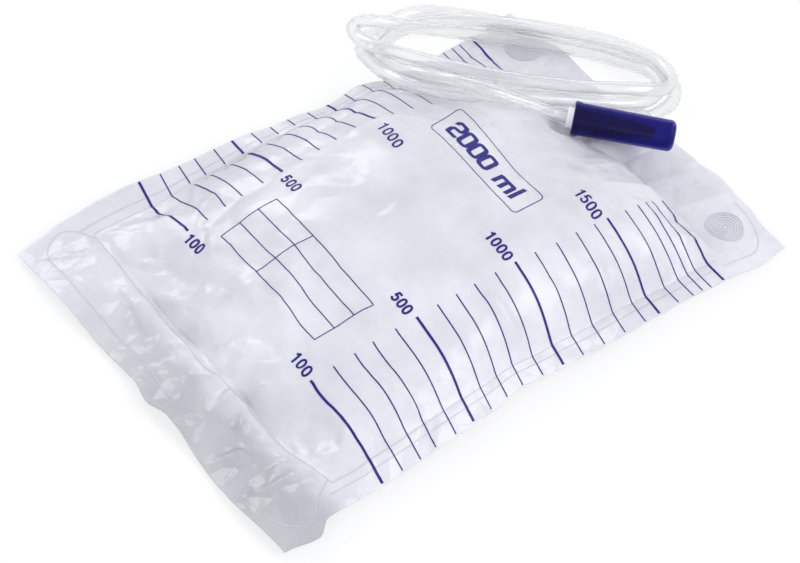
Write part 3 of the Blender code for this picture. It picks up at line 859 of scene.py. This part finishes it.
def lay_line(work, tree, points, width, low=PRINT_FOOT, high=PRINT_TOP, closed=False, step=LINE_STEP):
    """A thin closed band of a width along a line on the film, from low to high above it."""
    path = dense(points, step)
    if closed:
        path = path[:-1]
    hits = [over_film(tree, x, y) for x, y in path]
    hits = [(hit, normal) for hit, normal in hits if hit is not None]
    if len(hits) < 3:
        return
    count = len(hits)
    rings = []
    for i, (hit, normal) in enumerate(hits):
        if closed:
            ahead, behind = hits[(i + 1) % count][0], hits[i - 1][0]
        else:
            ahead, behind = hits[min(i + 1, count - 1)][0], hits[max(i - 1, 0)][0]
        head = (ahead - behind).normalized()
        side = head.cross(normal).normalized() * (width / 2)
        rings.append([work.verts.new(hit + side * k + normal * h)
                      for k, h in ((-1, low), (1, low), (1, high), (-1, high))])
    bridge(work, rings, closed)
    if not closed:
        work.faces.new(rings[0][::-1])
        work.faces.new(rings[-1])


def round_frame(width, height, radius):
    """Outline of a rectangle with round corners, its lower left corner at zero."""
    right = width - radius
    top = height - radius
    points = []
    for x, y, start in ((right, top, 0), (radius, top, 90), (radius, radius, 180), (right, radius, 270)):
        points += arc((x, y), radius, start, start + 90, 6)
    return points + points[:1]


def oval(half_width, half_height, power, steps=22):
    """Closed outline of a rounded figure about the middle of a unit box."""
    points = []
    for step in range(steps + 1):
        angle = 2 * math.pi * step / steps
        across = math.copysign(abs(math.cos(angle)) ** power, math.cos(angle))
        up = math.copysign(abs(math.sin(angle)) ** power, math.sin(angle))
        points.append((0.5 + half_width * across, 0.5 + half_height * up))
    return points


# Figures as strokes in a box one unit wide and high, plain for the scale and square for the label
PLAIN_FIGURES = {
    "0": (oval(0.31, 0.41, 0.85),),
    "1": (((0.60, 0.0), (0.60, 0.97)), ((0.57, 0.92), (0.46, 0.79), (0.22, 0.72))),
    "5": (((0.82, 0.91), (0.32, 0.91), (0.22, 0.50)), ((0.22, 0.52), (0.36, 0.60), (0.55, 0.61), (0.73, 0.53),
          (0.80, 0.35), (0.73, 0.17), (0.53, 0.09), (0.32, 0.12), (0.18, 0.25))),
}
SQUARE_FIGURES = {
    "0": (oval(0.36, 0.40, 0.42, 32),),
    "2": (((0.13, 0.68), (0.13, 0.82), (0.24, 0.90), (0.76, 0.90), (0.87, 0.82), (0.87, 0.60), (0.76, 0.51),
           (0.24, 0.47), (0.13, 0.38), (0.13, 0.10)), ((0.10, 0.10), (0.92, 0.10))),
    "m": (((0.10, 0.0), (0.10, 0.69)), ((0.10, 0.62), (0.84, 0.62), (0.90, 0.55), (0.90, 0.0)),
          ((0.5, 0.6), (0.5, 0.0))),
    "l": (((0.5, 0.0), (0.5, 1.0)),),
}
ADVANCES = {"m": 1.45, "l": 0.55, " ": 0.65}


def lay_words(work, tree, words, figures, place, stroke):
    """Figures laid on the film as strokes. A function turns shares (0 to 1) along and up the words into
    a plan place."""
    whole = sum(ADVANCES.get(figure, 1.0) for figure in words)
    start = 0.0
    for figure in words:
        wide = ADVANCES.get(figure, 1.0)
        for points in figures.get(figure, ()):
            path = [place((start + across * wide) / whole, up) for across, up in points]
            closed = points[0] == points[-1]
            lay_line(work, tree, path, stroke, closed=closed, step=STROKE_STEP)
        start += wide


def in_corners(corners, across, up):
    """Plan place at shares (0 to 1) across and up a patch with four corners, in millimetres."""
    low = [corners[0][k] + (corners[3][k] - corners[0][k]) * across for k in (0, 1)]
    high = [corners[1][k] + (corners[2][k] - corners[1][k]) * across for k in (0, 1)]
    return tuple((low[k] + (high[k] - low[k]) * up) * MM for k in (0, 1))


# Scale marks: height along the print, in millimetres, the thick ones at 100, 500, 1000, 1500, 2000
SCALE_PLACES = (-90.5, -79.7, -69.7, -60.7, -49.5, -38.9, -28.0, -18.0, -8.2, 3.0, 14.4, 25.9, 38.4,
                51.0, 63.2, 72.0, 84.5, 93.4, 99.4, 104.4, 112.8)
THICK_MARKS = (0, 5, 10, 15, 20)
MARK_OUTER = 106

# Inner ends of the marks (place, distance from the middle), and the left marks whose line the fold
# along the weld hides for a bit
RIGHT_MARK_ENDS = ((-90.5, 42.7), (-69.7, 46.2), (-38.9, 50.2), (3.0, 53.3), (38.4, 54.9), (72.0, 54.0),
                   (112.8, 52.2))
LEFT_MARK_ENDS = ((-95, -57.8), (-65, -57.4), (-45, -55.8), (20, -54.4), (115, -54.2))
FOLDED_MARKS = (2, 3, 4, 5, 6, 7, 8)
FOLD_FROM = -88.4
FOLD_TO = -84.4

# Scale numbers on the crumpled film, in millimetres: middle, way from digit to digit, way up a digit
NUMBERS = (
    ("100", (-50.0, -88.2), (3.9, 0.1), (-0.4, 5.2)), ("500", (-44.9, -38.3), (4.9, -1.0), (0.9, 4.8)),
    ("1000", (-38.1, 13.7), (5.4, -1.7), (-0.4, 6.3)), ("100", (33.9, -91.7), (4.2, -0.3), (-0.1, 5.2)),
    ("500", (41.5, -43.8), (3.8, 0.0), (0.2, 5.1)), ("1000", (44.3, 8.8), (3.8, 0.2), (-0.2, 5.8)),
    ("1500", (43.9, 65.0), (4.3, -0.4), (-0.9, 7.2)),
)
DIGIT_RISE = 1.06

# Corners of the label's frame and of the table: lower left, upper left, upper right, lower right
LABEL_CORNERS = ((-33.9, 34.3), (-44.2, 63.6), (32.5, 47.2), (34.3, 26.3))
TABLE_CORNERS = ((-43.6, -78.3), (-40.7, -49.8), (34.8, -54.2), (29.6, -81.7))
TABLE_COLUMN = 0.385
LABEL_SIZE = (66, 19.4)
LABEL_ROUNDING = 2.5
LABEL_TEXT_START = (0.10, 0.21)
LABEL_TEXT_SHARE = (0.80, 0.55)
TABLE_ROWS = 3


def number_place(middle, step, rise, digits):
    """A function that turns shares along and up a scale number into a plan place."""
    def place(across, up):
        return tuple((middle[k] + step[k] * digits * (across - 0.5) + DIGIT_RISE * rise[k] * (up - 0.5)) * MM
                     for k in (0, 1))
    return place


def label_place(across, up):
    return in_corners(LABEL_CORNERS, LABEL_TEXT_START[0] + LABEL_TEXT_SHARE[0] * across,
                      LABEL_TEXT_START[1] + LABEL_TEXT_SHARE[1] * up)


def make_print(tree, ink):
    """Scale marks, scale numbers, the framed label and the blank table, each as one piece."""
    names = ("scale_marks", "scale_numbers", "capacity_label", "blank_table")
    parts = marks, numbers, label, table = [bmesh.new() for _ in names]
    for index, place in enumerate(SCALE_PLACES):
        width = THICK_WIDTH if index in THICK_MARKS else THIN_WIDTH
        right, left = [float(np.interp(place, *zip(*ends))) for ends in (RIGHT_MARK_ENDS, LEFT_MARK_ENDS)]
        runs = [(right, MARK_OUTER), (left, -MARK_OUTER)]
        if index in FOLDED_MARKS:
            runs[1:] = [(left, FOLD_TO), (FOLD_FROM, -MARK_OUTER)]
        for start, end in runs:
            lay_line(marks, tree, [skewed(start, place), skewed(end, place)], width)
    for words, middle, step, rise in NUMBERS:
        place = number_place(middle, step, rise, len(words))
        lay_words(numbers, tree, words, PLAIN_FIGURES, place, SCALE_STROKE)
    wide, high = LABEL_SIZE
    outline = round_frame(wide, high, LABEL_ROUNDING)
    outline = [in_corners(LABEL_CORNERS, x / wide, y / high) for x, y in outline]
    lay_line(label, tree, outline, FRAME_WIDTH, closed=True)
    lay_words(label, tree, "2000 ml", SQUARE_FIGURES, label_place, LABEL_STROKE)
    for row in range(TABLE_ROWS + 1):
        ends = [in_corners(TABLE_CORNERS, across, row / TABLE_ROWS) for across in (0, 1)]
        lay_line(table, tree, ends, TABLE_ROW_WIDTH)
    for share in (0, TABLE_COLUMN, 1):
        lay_line(table, tree, [in_corners(TABLE_CORNERS, share, up) for up in (0, 1)], FRAME_WIDTH)
    return [add_object(finish_mesh(name, work, 30), ink) for name, work in zip(names, parts)]


# Welds: their width, foot and height, the step between points along them, and the corners' rings in
# millimetres
WELD_WIDTH = 0.00045
WELD_FOOT = -0.00005
WELD_HEIGHT = 0.00005
WELD_STEP = 0.004
RING_WIDTH = 0.0006
RING_HEIGHT = 0.00022
RING_MIDDLES = ((74, 131), (-77, 136))
RING_RADII = (1.6, 3.2, 4.8, 6.4, 8.0, 9.4)


def make_welds(tree, finish):
    """Raised lines of the welds, and the rings pressed into the two upper corners."""
    work = bmesh.new()

    def weld(points, width=WELD_WIDTH, closed=False, height=WELD_HEIGHT):
        flat = dense([(x * MM, y * MM) for x, y in points], WELD_STEP)
        lay_line(work, tree, [film_plan(s, t) for s, t in flat], width, WELD_FOOT, height, closed)

    side = POUCH_HALF_WIDTH / MM
    end = POUCH_HALF_LENGTH / MM
    for sign in (1, -1):
        weld(((side * sign, -end), (side * sign, 112)))
        weld(((side * sign + 4 * sign, -end - 4), (side * sign + 4 * sign, 108)))
    weld(((-side, -end), (-60, -end - 2), (-10, -end - 4), (48, -end - 1), (side, -end)))
    weld(((side - 3, -end), *arc((82, -133), 12, 40, -80, 12), (66, -145), (1, -141), (-20, -141),
          *arc((-84, -130), 12, 255, 120, 12), (-side + 3, -end)))
    for sign in (1, -1):
        corner = ((64, 146), *arc((78, 130), 15.5, 90, 0, 10), (93, 112))
        weld([(x * sign, y) for x, y in corner])
    for middle in RING_MIDDLES:
        for radius in RING_RADII:
            weld(arc(middle, radius, 0, 360, 40), RING_WIDTH, True, RING_HEIGHT)
    return add_object(finish_mesh("weld_lines", work, 60), finish)


# Small mouldings. The cap's fine form is its rolled lip, its outside behind the lip as (place along,
# height over its mouth's radius), and the bevels of its bore
CAP_LIP = 0.0006
CAP_LIP_RISE = 0.0002
CAP_OUTSIDE = ((0.0026, CAP_LIP_RISE), (0.0036, -0.00015), (0.020, -0.0003))
CAP_TAPER_SPARE = 0.002
CAP_MOUTH_BEVEL = 0.0003
CAP_FLOOR_BEVEL = 0.001
CAP_CROWN = 0.00005
CONNECTOR_BEVEL = 0.0003
NOZZLE_STEPS = 3
INLET_BEVEL = 0.0002
VALVE_SIDES = 44
VALVE_STEPS = 24


def make_cap(finish):
    """Cap with a rolled lip at its mouth and a rounded closed end."""
    rounding = CAP_LENGTH - CAP_ROUNDING
    profile = [(0.0, CAP_BORE_RADIUS + CAP_MOUTH_BEVEL)]
    profile += arc((CAP_LIP, CAP_MOUTH_RADIUS - CAP_LIP_RISE), CAP_LIP, 180, 90, 5)
    profile += [(along, CAP_MOUTH_RADIUS + rise) for along, rise in CAP_OUTSIDE]
    profile += [(rounding - CAP_TAPER_SPARE, CAP_END_RADIUS)]
    profile += arc((rounding, CAP_END_RADIUS - CAP_ROUNDING), CAP_ROUNDING, 90, 0, 10)
    floor = CAP_LENGTH - CAP_WALL
    bore_end = CAP_BORE_RADIUS - (CAP_MOUTH_RADIUS - CAP_END_RADIUS)
    profile += [(CAP_LENGTH + CAP_CROWN, 0), (floor, 0), (floor, bore_end - CAP_FLOOR_BEVEL),
                (floor - CAP_FLOOR_BEVEL, bore_end)]
    return add_object(turned_mesh("cap_shell", profile, 72), finish, cap_place())


def make_connector(finish):
    """Socket for the tube, a flange and a nozzle in three steps, with a bore all the way."""
    flange = CAP_BORE_RADIUS - PIECE_GAP
    socket_bore = TUBE_RADIUS + PIECE_GAP
    socket_floor = SOCKET_DEPTH - SOCKET_OUTSIDE
    soft = CONNECTOR_BEVEL
    profile = [(-SOCKET_OUTSIDE, socket_bore), (-SOCKET_OUTSIDE, SOCKET_RADIUS - soft),
               (-SOCKET_OUTSIDE + soft, SOCKET_RADIUS), (0, SOCKET_RADIUS), (0, flange - soft),
               (soft, flange), (FLANGE_LENGTH - soft, flange), (FLANGE_LENGTH, flange - soft),
               (FLANGE_LENGTH, SOCKET_RADIUS), (SOCKET_DEPTH, SOCKET_RADIUS)]
    for step in range(NOZZLE_STEPS):
        share = step / (NOZZLE_STEPS - 1)
        start, end = [SOCKET_DEPTH + (NOZZLE_END - SOCKET_DEPTH) * k / NOZZLE_STEPS for k in (step, step + 1)]
        radius = NOZZLE_ROOT_RADIUS + (NOZZLE_TIP_RADIUS - NOZZLE_ROOT_RADIUS) * share
        profile += [(start, radius + NOZZLE_STEP), (end, radius - NOZZLE_STEP)]
    profile += [(NOZZLE_END, NOZZLE_BORE_RADIUS), (socket_floor, NOZZLE_BORE_RADIUS),
                (socket_floor, socket_bore)]
    return add_object(turned_mesh("stepped_connector", profile, 56), finish, cap_place())


def make_inlet(finish):
    soft = INLET_BEVEL
    profile = [(0, INLET_RADIUS - soft), (soft, INLET_RADIUS), (INLET_LENGTH - soft, INLET_RADIUS),
               (INLET_LENGTH, INLET_RADIUS - soft), (INLET_LENGTH, INLET_BORE_RADIUS), (0, INLET_BORE_RADIUS)]
    place = Matrix.Translation((0, INLET_INNER_END, INLET_AXIS_HEIGHT)) @ Matrix.Rotation(math.pi / 2, 4, "Z")
    return add_object(turned_mesh("inlet_sleeve", profile, 48), finish, place)


def valve_section(share, inset):
    """Points round the valve at a share of its length: round at its grip, a flat slit at its end."""
    grip = (VALVE_START - INLET_INNER_END + VALVE_GRIP_SPARE) / (VALVE_START - VALVE_END)
    flat = ease((share - grip) / (1 - grip))
    round_radius = INLET_RADIUS + PIECE_GAP + VALVE_WALL - inset
    half_width = round_radius + (VALVE_WIDTH / 2 - VALVE_WALL - inset - round_radius) * flat
    half_height = round_radius + (VALVE_SLIT / 2 + VALVE_WALL - inset - round_radius) * flat
    middle = INLET_AXIS_HEIGHT + (VALVE_LIE + VALVE_SLIT / 2 - INLET_AXIS_HEIGHT) * flat
    y = VALVE_START + (VALVE_END - VALVE_START) * share
    return [(half_width * across, y, middle + half_height * up) for across, up in circle(VALVE_SIDES)]


def make_valve(finish):
    """Film sleeve as one closed wall: out along its outside, back along its inside."""
    shares = [step / VALVE_STEPS for step in range(VALVE_STEPS + 1)]
    stations = [(share, 0.0) for share in shares] + [(share, VALVE_WALL) for share in reversed(shares)]
    work = bmesh.new()
    loops = [[work.verts.new(point) for point in valve_section(*station)] for station in stations]
    bridge(work, loops)
    return add_object(finish_mesh("valve_sleeve", work), finish)


# Floor and light

def make_stage():
    """Pale floor that glows for the rays that see the white background, and keeps its shadows."""
    mesh = bpy.data.meshes.new("floor")
    mesh.from_pydata([(-4, -4, 0), (4, -4, 0), (4, 4, 0), (-4, 4, 0)], [], [(0, 1, 2, 3)])
    look = Look(bpy.data.materials.new("pale_floor"))
    look.feed(look.shader, {"Base Color": (*FLOOR_COLOUR, 1), "Roughness": 0.9})
    glow = look.add("ShaderNodeEmission", {"Color": WHITE, "Strength": 1.0})
    share = look.calc("MULTIPLY", look.white_rays(), FLOOR_GLOW)
    look.show("Material Output", share, look.shader.outputs["BSDF"], glow.outputs["Emission"])
    add_object(mesh, look.owner, Matrix.Translation((0, 0, -0.0002)))


def area_light(name, place, aim, size, power):
    data = bpy.data.lights.new(name, "AREA")
    data.shape = "RECTANGLE"
    data.size, data.size_y = size
    data.energy = power
    turn = (Vector(aim) - Vector(place)).to_track_quat("-Z", "Y").to_matrix().to_4x4()
    return add_object(data, place=Matrix.Translation(place) @ turn)


def make_light():
    look = Look(bpy.data.worlds.new("studio"))
    room = look.nodes["Background"]
    look.feed(room, {"Color": (*ROOM_COLOUR, 1), "Strength": ROOM_STRENGTH})
    white = look.add("ShaderNodeBackground", {"Color": WHITE, "Strength": 1.0})
    look.show("World Output", look.white_rays(), room.outputs["Background"], white.outputs["Background"])
    bpy.context.scene.world = look.owner
    lamps = {lamp[0]: area_light(*lamp) for lamp in LAMPS}
    lamps["fill"].visible_glossy = False


make_camera()
bpy.context.scene.view_settings.view_transform = "Standard"

sleeve_finish = plastic_material("clear_sleeve", SLEEVE_COLOURS, 0.15, 0.6)
cap_finish = plastic_material("cap_blue", CAP_COLOURS, 0.12, 0.94, 1.20, 40, 0.08, 0.75)

line = even_points(tube_route(), 700)
tube = add_object(tube_mesh("clear_tube", line, TUBE_RADIUS, TUBE_RADIUS - TUBE_WALL), tube_material())
cap = make_cap(cap_finish)
connector = make_connector(connector_material())
inlet = make_inlet(sleeve_finish)
valve = make_valve(film_material("valve_film", VALVE_COLOURS, (0.4, 0.6)))
facets = [crumple_surface(*each) for each in (LARGE_FACETS, SMALL_FACETS)]
back_grid, front_grid = film_heights(*facets, tree_of(tube))
back_film = add_object(sheet_mesh("back_sheet", back_grid),
                       film_material("back_milky_film", BACK_FILM_COLOURS, (0.60, 0.80)))
front_film = add_object(sheet_mesh("front_sheet", front_grid),
                        film_material("milky_film", FRONT_FILM_COLOURS, (0.60, 0.78)))
film_top = tree_of(front_film)
prints = make_print(film_top, ink_material())
welds = make_welds(film_top, plastic_material("welded_film", WELD_COLOURS, 0.42))
make_stage()
make_light()

for piece in [back_film, front_film, tube, connector, inlet, valve, welds] + prints:
    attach(piece, "bag")
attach(cap, "cap")
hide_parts("back_film")
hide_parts("front_film")
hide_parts("drainage_tube")
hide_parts("tube_connector")
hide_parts("connector_cap")
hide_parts("inlet_port")
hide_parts("non_return_valve")
